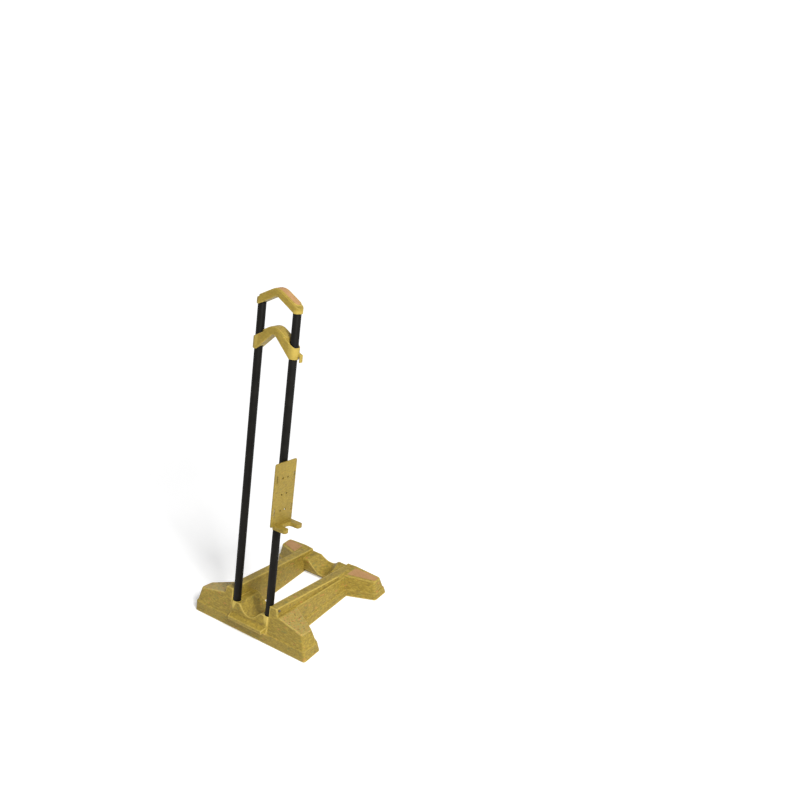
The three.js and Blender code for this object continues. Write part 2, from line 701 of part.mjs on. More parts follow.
function rearCradle() {
  const bottom = rearBeamHeight + seatGap;
  const block = across([
    [rearCradleFront, bottom], [rearCradleFront, rearCradleHeight - rearCradleEdgeDrop],
    [rearCradleFront + rearCradleEdgeDrop, rearCradleHeight], [rearWall(rearCradleHeight), rearCradleHeight],
    [rearWall(plinthRearHeight), plinthRearHeight], [rearWall(plinthRearHeight), bottom],
  ], railInnerX - seatGap);
  const { inner, outer, front, rear, height } = rearCradlePocket;
  const pocketDepths = [rearCradleFront + front, rearCradleFront + rear];
  const pocket = box([inner, outer], pocketDepths, [bottom - overrun, height]);
  return block.subtract(rearTyreSpace()).subtract(bothSides(pocket))
    .subtract(cradleScrewHoles(rearCradleSeat, rearCradleScrewY));
}

// The leaning pieces: X runs across, Y runs back from the tubes' axes and Z runs up along them
const tubeInner = tubeRadius - tubeWall;
const crossBoltRise = crossBoltHeight / Math.cos(tubeLean);
const handleBottom = tubeTop - handleOverlap;
const clampBottom = handleBottom - clampDrop;
const handleScrewSeat = [
  axisX, sleeveRadius - handleScrew.headHeight - seatGap, handleBottom + handleScrewRise,
];
const handleScrewHole = () => screwHole(handleScrewSeat, [0, -1, 0], handleScrew);

// The hole for the cross bolt, outwards from a place along X
const crossBoltHole = (fromX) => bar(
  [fromX, 0, crossBoltRise], [tubeSpacing, 0, crossBoltRise], crossBolt.radius + seatGap, screwSegments,
);

function tube() {
  const ends = [tubeBottom + tubePlugRim + seatGap, tubeTop - tubePlugRim - seatGap];
  return ring(axisX, ends, tubeInner, tubeRadius).subtract(crossBoltHole(axisX)).subtract(handleScrewHole());
}

// The round nut inside a tube, which the cross bolt screws into
function crossNut() {
  const ends = [crossBoltRise - crossNutHeight / 2, crossBoltRise + crossNutHeight / 2];
  return post(axisX, ends, tubeInner - seatGap).subtract(crossBoltHole(axisX - tubeInner));
}

// A plug in a tube's end: its rim stands at the end, and its shank goes in
function tubePlug(end, inward) {
  const reach = (distance) => end + inward * distance;
  const rim = post(axisX, [reach(0), reach(tubePlugRim)], tubeRadius);
  return rim.add(post(axisX, [reach(tubePlugRim / 2), reach(tubePlugLength)], tubeInner - seatGap));
}

// The front view of an arch over both tubes, from its sleeves' bottom up to a height over its outer line
function archShape(arch, bottom, raise = 0) {
  const endX = axisX + sleeveRadius + overrun;
  const apex = bottom + arch.outer + raise;
  const shoulder = bottom + arch.shoulder;
  const shoulderX = (apex - shoulder) / arch.outerFallShare;
  const innerX = arch.inner / arch.innerFallShare;
  const half = [[shoulderX, shoulder, shoulderRound], [endX, shoulder], [endX, bottom], [innerX, bottom]];
  const other = [...half].reverse().map(([x, z, radius]) => [-x, z, radius]);
  return outline([[0, apex, apexOuterRound], ...half, [0, bottom + arch.inner, apexInnerRound], ...other]);
}

function archBody(arch, bottom, endX, rim) {
  const depth = [-sleeveRadius - overrun, sleeveRadius + overrun];
  const heights = [bottom - overrun, bottom + arch.outer + rim.raise + overrun];
  const plan = extrude('z', pill(endX, sleeveRadius), heights);
  const rimPlan = extrude('z', pill(rim.endX, rim.halfDepth), heights);
  const body = extrude('y', archShape(arch, bottom), depth).intersect(plan);
  return body.add(extrude('y', archShape(arch, bottom, rim.raise), depth).intersect(rimPlan));
}

// A strip of even thickness that follows the handle's rim
function gripStrip(gap, [low, high]) {
  const top = handleBottom + handleArch.outer + handleRimRaise;
  const reach = handleRimEndX + overrun;
  const line = (rise) => {
    const end = top + rise - handleArch.outerFallShare * reach;
    return [[-reach, end], [0, top + rise, apexOuterRound], [reach, end]];
  };
  const depth = handleRimHalfDepth + overrun;
  const strip = extrude('y', outline([...line(low), ...line(high).reverse()]), [-depth, depth]);
  const plan = pill(handleRimEndX - gripMargin + gap, handleRimHalfDepth - gripMargin + gap);
  return strip.intersect(extrude('z', plan, [handleBottom, top + 2 * overrun]));
}
const handleGrip = () => gripStrip(0, [gripRaise - gripThickness, gripRaise]);

function handleBody() {
  const rim = { raise: handleRimRaise, halfDepth: handleRimHalfDepth, endX: handleRimEndX };
  const bore = post(axisX, [handleBottom - overrun, tubeTop + seatGap], tubeRadius + seatGap);
  return archBody(handleArch, handleBottom, handleEndX, rim)
    .subtract(gripStrip(seatGap, [gripRaise - gripThickness - seatGap, overrun]))
    .subtract(bothSides(bore.add(handleScrewHole())));
}

// Two bushes drop into each of the clamp's sleeves, and a rubber ring between them gives the clamp its grip
const bushInner = tubeRadius + runGap;
const bushOuter = bushInner + bushWall;
const clampTop = clampBottom + clampArch.shoulder;
const clampBushBottom = clampBottom + clampBushRise;

function hook() {
  const legX = axisX + sleeveRadius + hookGap;
  const tipX = legX + hookThickness;
  const [top, tip] = [clampBottom + hookRise, clampBottom - hookDrop];
  const shape = outline([
    [axisX + tubeRadius, top], [tipX, top - hookFall, hookThickness / 2], [tipX, tip, hookThickness / 4],
    [legX, tip, hookThickness / 4], [legX, top - hookFall - hookArmThickness],
    [axisX + tubeRadius, top - hookArmThickness],
  ]);
  return extrude('y', shape, [hookFront, hookRear]);
}

function tyreClamp() {
  const bore = post(axisX, [clampBottom - overrun, clampTop], bushInner);
  const bushSpace = post(
    axisX, [clampBushBottom - seatGap, clampBottom + clampArch.outer + overrun], bushOuter + seatGap,
  );
  return archBody(clampArch, clampBottom, axisX + sleeveRadius, clampRim)
    .add(hook()).subtract(bothSides(bore.add(bushSpace)));
}

const clampBushEnds = {
  lower: [clampBushBottom, clampBushBottom + clampBushLength], upper: [clampTop - clampBushLength, clampTop],
};
const frictionRingEnds = [clampBushEnds.lower[1] + seatGap, clampBushEnds.upper[0] - seatGap];

// Accessory plate, with its shelf, holes and strap slots
const plateBackX = plateFaceX - plateThickness;

function platePanel() {
  const frame = [
    [-plateFront, plateBottom, plateCorner], [plateRear, plateBottom, plateCorner],
    [plateRear, plateTop, plateCorner], [-plateFront, plateTop, plateCorner],
  ];
  const holes = [];
  const cut = [plateBackX - overrun, plateFaceX + overrun];
  for (const side of [-1, 1]) {
    for (let row = 0; row < holeRowCount; row += 1) {
      const y = (side * holeColumnSpacing) / 2 - holeCentre;
      const z = holeMiddle + (row - (holeRowCount - 1) / 2) * holeRowSpacing;
      holes.push(bar([cut[0], y, z], [cut[1], y, z], holeRadius, screwSegments));
    }
    for (const level of [-1, 1]) {
      const y = (side * strapSlotSpacing) / 2 - strapSlotCentre;
      const z = strapSlotMiddle + (level * strapSlotRise) / 2;
      const [halfWidth, halfLength] = [strapSlotWidth / 2, strapSlotLength / 2];
      holes.push(box(cut, [y - halfWidth, y + halfWidth], [z - halfLength, z + halfLength]));
    }
  }
  return extrude('x', outline(frame), [plateBackX, plateFaceX]).subtract(join(holes));
}

function shelf() {
  const tipX = plateFaceX + shelfReach;
  const rootX = tipX - notchDepth;
  const notch = [-notchCentre - notchWidth / 2, -notchCentre + notchWidth / 2];
  const plan = outline([
    [plateBackX, -shelfFront], [tipX, -shelfFront, prongRound], [tipX, notch[0], prongRound],
    [rootX, notch[0], notchRound], [rootX, notch[1], notchRound], [tipX, notch[1], prongRound],
    [tipX, shelfRear, prongRound], [plateBackX, shelfRear],
  ]);
  return extrude('z', plan, [shelfBottom, shelfBottom + shelfThickness]);
}

// The plate's screws come from behind, through the flanges of the collars
const flangeBackX = plateBackX - seatGap - collarFlange.thickness;
const collarCentres = { lower: collarMiddle - collarSpacing / 2, upper: collarMiddle + collarSpacing / 2 };
const plateScrewY = { front: -collarFlange.screwSpacing / 2, rear: collarFlange.screwSpacing / 2 };
const plateScrewSeat = (centre, y) => [flangeBackX, y, centre];
function plateScrewHoles() {
  const holes = family(collarCentres, (level, centre) => {
    return family(plateScrewY, (side, y) => [screwHole(plateScrewSeat(centre, y), [1, 0, 0], plateScrew)]);
  });
  return join(holes);
}

const accessoryPlate = () => platePanel().add(shelf()).subtract(plateScrewHoles());

// A collar round the +X tube, split between two ears at the rear that a screw pulls together
const collarInner = bushOuter + seatGap;
const collarOuter = collarInner + collarWall;
const earX = axisX - collarEar.width / 2;
const pinchY = collarOuter + collarEar.reach / 2;
const pinchSeat = (centre) => [earX + pinchScrew.headHeight + seatGap, pinchY, centre];
const pinchNutEnds = [axisX + collarEar.width / 2 - pinchNut.height, axisX + collarEar.width / 2];

function plateCollar(centre) {
  const heights = [centre - collarHeight / 2, centre + collarHeight / 2];
  const beyond = [heights[0] - overrun, heights[1] + overrun];
  const flange = box(
    [flangeBackX, plateBackX - seatGap], [-collarFlange.width / 2, collarFlange.width / 2], heights,
  );
  const ears = box([earX, earX + collarEar.width], [collarInner, collarOuter + collarEar.reach], heights);
  const split = box(
    [axisX - collarEar.gap / 2, axisX + collarEar.gap / 2], [0, collarOuter + collarEar.reach + overrun], beyond,
  );
  const trim = box([plateBackX - seatGap, plateFaceX + overrun], [-collarOuter, collarOuter], beyond);
  const nutSpace = bar(
    [pinchNutEnds[0] - seatGap, pinchY, centre], [pinchNutEnds[1] + overrun / 6, pinchY, centre],
    pinchNut.radius + seatGap, 6,
  );
  return join([post(axisX, heights, collarOuter), flange, ears])
    .subtract(post(axisX, beyond, collarInner))
    .subtract(join([split, trim, nutSpace]))
    .subtract(screwHole(pinchSeat(centre), [1, 0, 0], pinchScrew))
    .subtract(plateScrewHoles());
}

function collarPieces(level, centre) {
  const half = collarHeight / 2 + collarRim;
  const pinchNutBody = nut([pinchY, centre], pinchNutEnds, pinchNut.radius, pinchScrew.radius);
  return [
    piece(`plate_collar_${level}`, plateCollar(centre), plasticLook),
    piece(`plate_bush_${level}`, ring(axisX, [centre - half, centre + half], bushInner, bushOuter), bushLook),
    piece(`pinch_screw_${level}`, screw(pinchSeat(centre), [1, 0, 0], pinchScrew), steelLook),
    piece(`pinch_nut_${level}`, pinchNutBody, steelLook),
    ...family(plateScrewY, (side, y) => {
      const body = screw(plateScrewSeat(centre, y), [1, 0, 0], plateScrew);
      return [piece(`plate_screw_${level}_${side}`, body, steelLook)];
    }),
  ];
}

// Everything stands on the base, and the uprights lean back from it
const base = new THREE.Group();
base.add(
  piece('base_frame', baseFrame(), plasticLook),
  piece('front_cradle', frontCradle(), plasticLook),
  piece('rear_cradle', rearCradle(), plasticLook),
  ...pair('cork_pad', corkPad(rearFootReach.right), corkLook, corkPad(rearFootReach.left)),
  ...family(rubberFootY, (place, y) => {
    const [right, left] = [rubberFootX[place].right, rubberFootX[place].left].map((x) => rubberFoot(x, y, 0));
    return pair(`rubber_foot_${place}`, right, rubberLook, left);
  }),
  ...family(frontCradleScrewY, (place, y) => {
    return pair(`front_cradle_screw_${place}`, screw(frontCradleSeat(y), up, cradleScrew), steelLook);
  }),
  ...family(rearCradleScrewY, (place, y) => {
    return pair(`rear_cradle_screw_${place}`, screw(rearCradleSeat(y), up, cradleScrew), steelLook);
  }),
  ...pair('cross_bolt', crossBoltBody(), steelLook),
);

const uprights = new THREE.Group();
uprights.position.y = tubeAxisY;
uprights.rotation.x = -tubeLean;
uprights.add(
  ...pair('tube', tube(), tubeLook),
  ...pair('cross_nut', crossNut(), steelLook),
  ...pair('tube_foot_plug', tubePlug(tubeBottom, 1), bushLook),
  ...pair('tube_top_plug', tubePlug(tubeTop, -1).subtract(handleScrewHole()), bushLook),
  piece('handle_body', handleBody(), plasticLook),
  piece('handle_grip', handleGrip(), corkLook),
  ...pair('handle_screw', screw(handleScrewSeat, [0, -1, 0], handleScrew), steelLook),
  piece('tyre_clamp', tyreClamp(), plasticLook),
  ...family(clampBushEnds, (place, ends) => {
    return pair(`clamp_bush_${place}`, ring(axisX, ends, bushInner, bushOuter), bushLook);
  }),
  ...pair('clamp_friction_ring', ring(axisX, frictionRingEnds, bushInner, bushOuter), rubberLook),
  piece('accessory_plate', accessoryPlate(), plasticLook),
  ...family(collarCentres, collarPieces),
);

// The stand rests on its rubber feet, with the origin under the middle of its depth
const stand = new THREE.Group();
stand.position.set(0, (noseReach - baseDepth) / 2, baseClearance);
stand.add(base, uprights);
export default stand;
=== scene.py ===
"""A free-standing bicycle display stand: a moulded base with two cradles for the wheel, two leaning tubes,
an arched handle, a sliding tyre clamp and an accessory plate. Sizes are in metres, +Z is up."""
import json
import math

import bpy
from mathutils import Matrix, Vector


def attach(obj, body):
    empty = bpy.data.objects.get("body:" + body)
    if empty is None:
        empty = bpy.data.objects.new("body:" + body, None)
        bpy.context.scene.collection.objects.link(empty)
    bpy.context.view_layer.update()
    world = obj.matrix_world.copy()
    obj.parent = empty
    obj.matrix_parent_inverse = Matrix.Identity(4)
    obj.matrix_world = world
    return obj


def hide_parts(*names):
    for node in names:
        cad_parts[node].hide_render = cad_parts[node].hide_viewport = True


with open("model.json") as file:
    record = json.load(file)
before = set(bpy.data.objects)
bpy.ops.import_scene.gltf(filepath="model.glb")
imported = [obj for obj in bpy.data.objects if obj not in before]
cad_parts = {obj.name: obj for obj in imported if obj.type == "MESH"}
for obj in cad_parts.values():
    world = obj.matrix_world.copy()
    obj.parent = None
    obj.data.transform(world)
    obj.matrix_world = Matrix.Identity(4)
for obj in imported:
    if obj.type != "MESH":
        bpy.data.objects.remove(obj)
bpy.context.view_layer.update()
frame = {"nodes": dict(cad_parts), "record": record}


# Base frame: one big moulding of recycled plastic chips, with two rails, four feet and a plinth band.
# The chips leave a fine olive, ochre and rust speckle, and the mould rounds every outer edge.

PLASTIC_DARK = (0.170, 0.114, 0.018)
PLASTIC_OLIVE = (0.292, 0.203, 0.030)
PLASTIC_GOLD = (0.475, 0.338, 0.056)
PAINTED_EDGE_HIGHLIGHT = (0.640, 0.480, 0.110)
CHIP_RUST = (0.52, 0.215, 0.060)
CHIP_MOSS = (0.205, 0.205, 0.048)
CHIP_DARK = (0.175, 0.115, 0.028)
CHIP_ORANGE = (0.56, 0.27, 0.10)
CHIP_GREEN = (0.31, 0.31, 0.11)
CHIP_PALE = (0.50, 0.385, 0.125)
BASE_GRAIN = 0.0008
FOOT_TOP_SLOPES = (((0.235, -0.113, 0.966), 0.0863), ((0.196, -0.187, 0.963), 0.0713))
FOOT_TOP_SKIN = (0.0014, 0.0007)
RAIL_OUTSIDE = (0.090, 0.096)
FRONT_FEET_END = (-0.085, -0.080)
# Painted highlight on outer edges: how far in it looks for the piece's own shape, and the openness range it
# spreads over
HIGHLIGHT_REACH = 0.0042
HIGHLIGHT_OPENNESS = (0.62, 0.95)
# Painted shade in inner corners: how far out it looks for the piece's own shape, and the openness range it
# spreads over
PAINTED_SHADE_REACH = 0.0100
PAINTED_SHADE_OPENNESS = (0.45, 0.95)


def bare_material(name):
    """A new material with its shader, its nodes, a link maker and the object's own coordinates"""
    material = bpy.data.materials.new(name)
    material.use_nodes = True
    tree = material.node_tree
    shader = tree.nodes["Principled BSDF"]
    place = tree.nodes.new("ShaderNodeTexCoord").outputs["Object"]
    return material, tree, shader, place


def ramp(tree, factor, stops):
    """A colour ramp through (position, colour) stops"""
    node = tree.nodes.new("ShaderNodeValToRGB")
    tree.links.new(factor, node.inputs["Fac"])
    elements = node.color_ramp.elements
    while len(elements) < len(stops):
        elements.new(1.0)
    for element, (position, colour) in zip(elements, stops):
        element.position = position
        element.color = (*colour, 1.0)
    return node.outputs["Color"]


def noise(tree, place, scale, detail=3.0, roughness=0.5):
    """A cloudy pattern from 0 to 1"""
    node = tree.nodes.new("ShaderNodeTexNoise")
    node.inputs["Scale"].default_value = scale
    node.inputs["Detail"].default_value = detail
    node.inputs["Roughness"].default_value = roughness
    tree.links.new(place, node.inputs["Vector"])
    return node.outputs["Fac"]


def cells(tree, place, scale, feature="F1"):
    """A pattern of cells, each with its own colour and the distance from its middle or its edge"""
    node = tree.nodes.new("ShaderNodeTexVoronoi")
    node.feature = feature
    node.inputs["Scale"].default_value = scale
    tree.links.new(place, node.inputs["Vector"])
    return node


def mix(tree, factor, below, above):
    """Mixes two colours; each is a socket or a plain colour"""
    node = tree.nodes.new("ShaderNodeMix")
    node.data_type = "RGBA"
    for name, value in (("Factor", factor), ("A", below), ("B", above)):
        socket = node.inputs[name]
        if isinstance(value, (int, float)):
            socket.default_value = value
        elif isinstance(value, tuple):
            socket.default_value = (*value, 1.0)
        else:
            tree.links.new(value, socket)
    return node.outputs["Result"]


def maths(tree, operation, first, second=0.0):
    """One sum; each term is a socket or a plain number"""
    node = tree.nodes.new("ShaderNodeMath")
    node.operation = operation
    for socket, value in zip(node.inputs, (first, second)):
        if isinstance(value, (int, float)):
            socket.default_value = value
        else:
            tree.links.new(value, socket)
    return node.outputs["Value"]


def between(tree, value, low, high, to_low=0.0, to_high=1.0):
    """Maps a value from one range to another and keeps it inside"""
    node = tree.nodes.new("ShaderNodeMapRange")
    node.clamp = True
    for name, number in (("From Min", low), ("From Max", high), ("To Min", to_low), ("To Max", to_high)):
        node.inputs[name].default_value = number
    tree.links.new(value, node.inputs["Value"])
    return node.outputs["Result"]


def uneven_gloss(tree, shader, place, scale, detail, lowest, highest):
    """Varies the shader's roughness a little over the surface"""
    gloss = between(tree, noise(tree, place, scale, detail), 0.3, 0.7, lowest, highest)
    tree.links.new(gloss, shader.inputs["Roughness"])


def relief(tree, shader, height, strength, distance):
    """Bumps the shader's surface by a height"""
    node = tree.nodes.new("ShaderNodeBump")
    node.inputs["Strength"].default_value = strength
    node.inputs["Distance"].default_value = distance
    tree.links.new(height, node.inputs["Height"])
    tree.links.new(node.outputs["Normal"], shader.inputs["Normal"])


def chips(tree, place, scale, share, colour_under, chip_colours):
    """Lays chips of three colours over a colour; share is how many of the cells show a chip of each colour"""
    flakes = cells(tree, place, scale)
    pick = tree.nodes.new("ShaderNodeSeparateColor")
    tree.links.new(flakes.outputs["Color"], pick.inputs["Color"])
    inside = between(tree, flakes.outputs["Distance"], 0.34, 0.60, to_low=1.0, to_high=0.0)
    colour = colour_under
    for channel, chip in zip(("Red", "Green", "Blue"), chip_colours):
        chosen = maths(tree, "LESS_THAN", pick.outputs[channel], share)
        colour = mix(tree, maths(tree, "MULTIPLY", chosen, inside), colour, chip)
    return colour


def stretched(tree, place, stretch):
    """The place with its axes scaled, so that a grain runs along the least scaled one"""
    node = tree.nodes.new("ShaderNodeMapping")
    node.inputs["Scale"].default_value = stretch
    tree.links.new(place, node.inputs["Vector"])
    return node.outputs["Vector"]


def foot_tops(tree, place):
    """1 on the two slopes of both front feet's tops, where the chips lie coarse, and 0 elsewhere. A slope is
    given by its upright, for the place without its signs, and by its distance from the origin"""
    spot = tree.nodes.new("ShaderNodeSeparateXYZ")
    tree.links.new(place, spot.inputs["Vector"])
    beside_rail = between(tree, maths(tree, "ABSOLUTE", spot.outputs["X"]), *RAIL_OUTSIDE)
    at_front = between(tree, spot.outputs["Y"], *FRONT_FEET_END, to_low=1.0, to_high=0.0)
    unsigned = tree.nodes.new("ShaderNodeVectorMath")
    unsigned.operation = "ABSOLUTE"
    tree.links.new(place, unsigned.inputs[0])
    slopes = []
    for upright, distance in FOOT_TOP_SLOPES:
        rise = tree.nodes.new("ShaderNodeVectorMath")
        rise.operation = "DOT_PRODUCT"
        tree.links.new(unsigned.outputs["Vector"], rise.inputs[0])
        rise.inputs[1].default_value = upright
        below, above = (distance - depth for depth in FOOT_TOP_SKIN)
        slopes.append(between(tree, rise.outputs["Value"], below, above))
    on_top = maths(tree, "MAXIMUM", *slopes)
    return maths(tree, "MULTIPLY", on_top, maths(tree, "MULTIPLY", beside_rail, at_front))


def painted_highlight_and_shade(tree):
    """Two masks from the surface's own shape: 1 on its outer edges, where a painted highlight goes, and 1 deep
    in its inner corners, where a painted shade goes
    """
    measures = []
    highlight_setting = (True, HIGHLIGHT_REACH, HIGHLIGHT_OPENNESS)
    shade_setting = (False, PAINTED_SHADE_REACH, PAINTED_SHADE_OPENNESS)
    for inside, reach, openness in (highlight_setting, shade_setting):
        node = tree.nodes.new("ShaderNodeAmbientOcclusion")
        node.inside = inside
        node.only_local = True
        node.samples = 8
        node.inputs["Distance"].default_value = reach
        measures.append(between(tree, node.outputs["AO"], *openness, to_low=1.0, to_high=0.0))
    return measures


def moulded_plastic(name, depth, speckle, highlight_share, coarse_feet):
    """The chips' plastic; depth darkens it, speckle is how much of the grain and the chips shows, the highlight
    share is how strong a painted highlight on its outer edges is, and coarse_feet lays the coarse chips on the
    front feet; its inner corners always get a painted shade"""
    material, tree, shader, place = bare_material(name)
    broad = noise(tree, place, scale=22, detail=6.0, roughness=0.62)
    cloud = ramp(tree, broad, ((0.30, PLASTIC_OLIVE), (0.70, PLASTIC_GOLD)))
    layers = stretched(tree, place, (0.38, 0.38, 1.0))
    shades = ((0.30, PLASTIC_DARK), (0.47, PLASTIC_OLIVE), (0.66, PLASTIC_GOLD))
    grain = ramp(tree, noise(tree, layers, scale=300, roughness=0.6), shades)
    plain = mix(tree, 0.62 * speckle, cloud, grain)
    colour = chips(tree, layers, 250, 0.055, plain, (CHIP_RUST, CHIP_MOSS, CHIP_DARK))
    colour = chips(tree, place, 480, 0.10, colour, (CHIP_DARK, CHIP_MOSS, PLASTIC_DARK))
    colour = mix(tree, 1 - 0.66 * speckle, colour, plain)
    if coarse_feet:
        pale = mix(tree, 0.40, plain, CHIP_PALE)
        coarse = chips(tree, place, 210, 0.13, pale, (CHIP_ORANGE, CHIP_GREEN, CHIP_DARK))
        coarse = chips(tree, place, 340, 0.15, coarse, (CHIP_DARK, CHIP_RUST, CHIP_GREEN))
        colour = mix(tree, foot_tops(tree, place), colour, mix(tree, 0.15, coarse, pale))
    # The outer edges get a painted highlight and the inner corners a painted shade, both read from the piece's
    # own shape
    edge, corner_shade = painted_highlight_and_shade(tree)
    colour = mix(tree, depth, colour, PLASTIC_DARK)
    # Painted highlight: the outer edges are mixed towards a pale gold
    colour = mix(tree, maths(tree, "MULTIPLY", edge, highlight_share), colour, PAINTED_EDGE_HIGHLIGHT)
    # Painted shade: the inner corners are mixed towards the dark plastic
    colour = mix(tree, maths(tree, "MULTIPLY", corner_shade, 0.55), colour, PLASTIC_DARK)
    tree.links.new(colour, shader.inputs["Base Color"])
    uneven_gloss(tree, shader, place, 90, 4.0, 0.42, 0.54)
    shader.inputs["Specular IOR Level"].default_value = 0.26
    relief(tree, shader, noise(tree, place, 900), 0.16, 0.0004)
    return material


# The base's plastic: a strong painted highlight on its outer edges and painted shade in its inner corners
base_plastic = moulded_plastic(
    "speckled plastic of the base", depth=0.0, speckle=1.0, highlight_share=0.85, coarse_feet=True,
)


def body_of(node_name):
    """The body that a solid of the frame moves with"""
    bodies = frame["record"]["behaviour"]["bodies"]
    return next(body for body, node_names in bodies.items() if node_name in node_names)


def merged_copy(node_name, piece_name):
    """A copy of a solid, with its loose faces joined, as the only selected object"""
    piece = bpy.data.objects.new(piece_name, frame["nodes"][node_name].data.copy())
    bpy.context.scene.collection.objects.link(piece)
    bpy.ops.object.select_all(action="DESELECT")
    piece.select_set(True)
    bpy.context.view_layer.objects.active = piece
    bpy.ops.mesh.customdata_custom_splitnormals_clear()
    bpy.ops.object.mode_set(mode="EDIT")
    bpy.ops.mesh.select_all(action="SELECT")
    bpy.ops.mesh.remove_doubles(threshold=0.00002)
    bpy.ops.object.mode_set(mode="OBJECT")
    return piece


def put_on(piece, node_names, look):
    """Gives a piece its look and lets it stand for the solids that it shows"""
    piece.data.materials.clear()
    piece.data.materials.append(look)
    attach(piece, body_of(node_names[0]))
    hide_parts(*node_names)
    return piece


def finish_shape(piece, kind, **settings):
    """Adds a modifier with its settings to a piece and applies it"""
    modifier = piece.modifiers.new(kind.lower(), kind)
    for name, value in settings.items():
        setattr(modifier, name, value)
    bpy.ops.object.modifier_apply(modifier=modifier.name)


def out_of_the_mould(node_name, piece_name, look, grain, rounding, kept_faces=0.25):
    """A copy of a solid with its edges and inner corners rounded as a mould rounds them. The skin is made of
    even faces of the grain's size, which are smoothed and then thinned where it is flat"""
    piece = merged_copy(node_name, piece_name)
    finish_shape(piece, "REMESH", mode="VOXEL", voxel_size=grain)
    finish_shape(piece, "SMOOTH", factor=0.5, iterations=rounding)
    finish_shape(piece, "DECIMATE", ratio=kept_faces)
    bpy.ops.object.shade_smooth()
    finish_shape(piece, "WEIGHTED_NORMAL", mode="FACE_AREA", weight=50)
    return put_on(piece, [node_name], look)


out_of_the_mould(
    "base_frame", "base_moulding", base_plastic, BASE_GRAIN, rounding=4, kept_faces=0.10,
)


# Rubber feet: four turned discs of black rubber, pressed into round seats under the corners of the base.
# They keep the stand off the floor and stop it sliding.

RUBBER_BLACK = (0.020, 0.020, 0.021)
RUBBER_DUSTY = (0.050, 0.048, 0.045)
RUBBER_EDGE = 0.0006


def matt_rubber():
    material, tree, shader, place = bare_material("black rubber")
    dust = ramp(tree, noise(tree, place, 160, 5.0), ((0.35, RUBBER_BLACK), (0.8, RUBBER_DUSTY)))
    tree.links.new(dust, shader.inputs["Base Color"])
    uneven_gloss(tree, shader, place, 300, 3.0, 0.72, 0.9)
    relief(tree, shader, noise(tree, place, 1500, 2.0), 0.3, 0.0003)
    return material


black_rubber = matt_rubber()


def off_the_lathe(node_name, piece_name, look, edge):
    """A copy of a turned or pressed solid with its sharp edges broken and its round faces smooth"""
    piece = merged_copy(node_name, piece_name)
    finish_shape(
        piece, "BEVEL", width=edge, segments=2, limit_method="ANGLE", angle_limit=math.radians(50),
        use_clamp_overlap=True,
    )
    bpy.ops.object.shade_smooth_by_angle(angle=math.radians(38))
    return put_on(piece, [node_name], look)


for end in ("front", "rear"):
    for side in ("right", "left"):
        off_the_lathe(
            f"rubber_foot_{end}_{side}", f"rubber_pad_{end}_{side}", black_rubber, RUBBER_EDGE,
        )


# Cork pads: inlays of pressed cork, cut to the tops of the rear feet and glued into shallow seats.
# The cork shows its granules, with darker bark between the lighter ones.

CORK_LIGHT = (0.53, 0.300, 0.128)
CORK_TAN = (0.42, 0.225, 0.088)
CORK_BARK = (0.17, 0.085, 0.042)
CORK_GRANULES = 480
CORK_GRAIN = 0.0005


def pressed_cork():
    material, tree, shader, place = bare_material("pressed cork")
    granules = cells(tree, place, CORK_GRANULES)
    shade = tree.nodes.new("ShaderNodeSeparateColor")
    tree.links.new(granules.outputs["Color"], shade.inputs["Color"])
    grains = ((0.0, CORK_TAN), (0.55, CORK_LIGHT), (0.96, CORK_LIGHT), (0.99, CORK_BARK))
    tint = ramp(tree, shade.outputs["Red"], grains)
    cloud = ramp(tree, noise(tree, place, 70, 4.0), ((0.3, CORK_TAN), (0.75, CORK_LIGHT)))
    colour = mix(tree, 0.7, tint, cloud)
    rims = cells(tree, place, CORK_GRANULES, "DISTANCE_TO_EDGE").outputs["Distance"]
    gaps = between(tree, rims, 0.0, 0.09, to_low=0.12, to_high=0.0)
    tree.links.new(mix(tree, gaps, colour, CORK_BARK), shader.inputs["Base Color"])
    uneven_gloss(tree, shader, place, 200, 3.0, 0.78, 0.92)
    relief(tree, shader, granules.outputs["Distance"], 0.22, 0.0005)
    return material


cork = pressed_cork()
for side in ("right", "left"):
    out_of_the_mould(f"cork_pad_{side}", f"cork_inlay_{side}", cork, CORK_GRAIN, rounding=2)


# Front cradle: a separate moulding that sits on the front beam between the rails, with a nose to catch the
# tyre, a ramp and a groove. Screws from below hold it, and the tubes pass through it.

FRONT_CRADLE_GRAIN = 0.0006

out_of_the_mould(
    "front_cradle", "front_cradle_moulding", base_plastic, FRONT_CRADLE_GRAIN, rounding=4,
    kept_faces=0.15,
)


# Rear cradle: the tyre's second rest, between the rails over the rear beam, with a groove that rises to the
# rear. Screws from below hold it.

REAR_CRADLE_GRAIN = 0.0008

out_of_the_mould(
    "rear_cradle", "rear_cradle_moulding", base_plastic, REAR_CRADLE_GRAIN, rounding=4,
)


# Screws, bolts and nuts: blackened steel, with the fine streaks that the heading and turning leave. They hold
# the cradles from below, the handle and the plate from behind, and the tubes through the rails.

STEEL_DARK = (0.19, 0.175, 0.145)
STEEL_WORN = (0.36, 0.335, 0.285)
STEEL_EDGE = 0.0003


def blackened_steel():
    material, tree, shader, place = bare_material("blackened steel")
    wear = ramp(tree, noise(tree, place, 350, 5.0, 0.6), ((0.4, STEEL_DARK), (0.75, STEEL_WORN)))
    tree.links.new(wear, shader.inputs["Base Color"])
    shader.inputs["Metallic"].default_value = 1.0
    uneven_gloss(tree, shader, place, 900, 3.0, 0.32, 0.5)
    relief(tree, shader, noise(tree, place, 1800, 2.0), 0.12, 0.0002)
    return material


steel = blackened_steel()
for node_name in sorted(frame["nodes"]):
    if "screw" in node_name or "cross_" in node_name or "pinch_nut" in node_name:
        off_the_lathe(node_name, f"steel_{node_name}", steel, STEEL_EDGE)


# Tubes: two aluminium tubes, 20 mm across, with a satin black powder coat that lies slightly uneven.
# A plug closes each end, and the foot ends stand in the base.

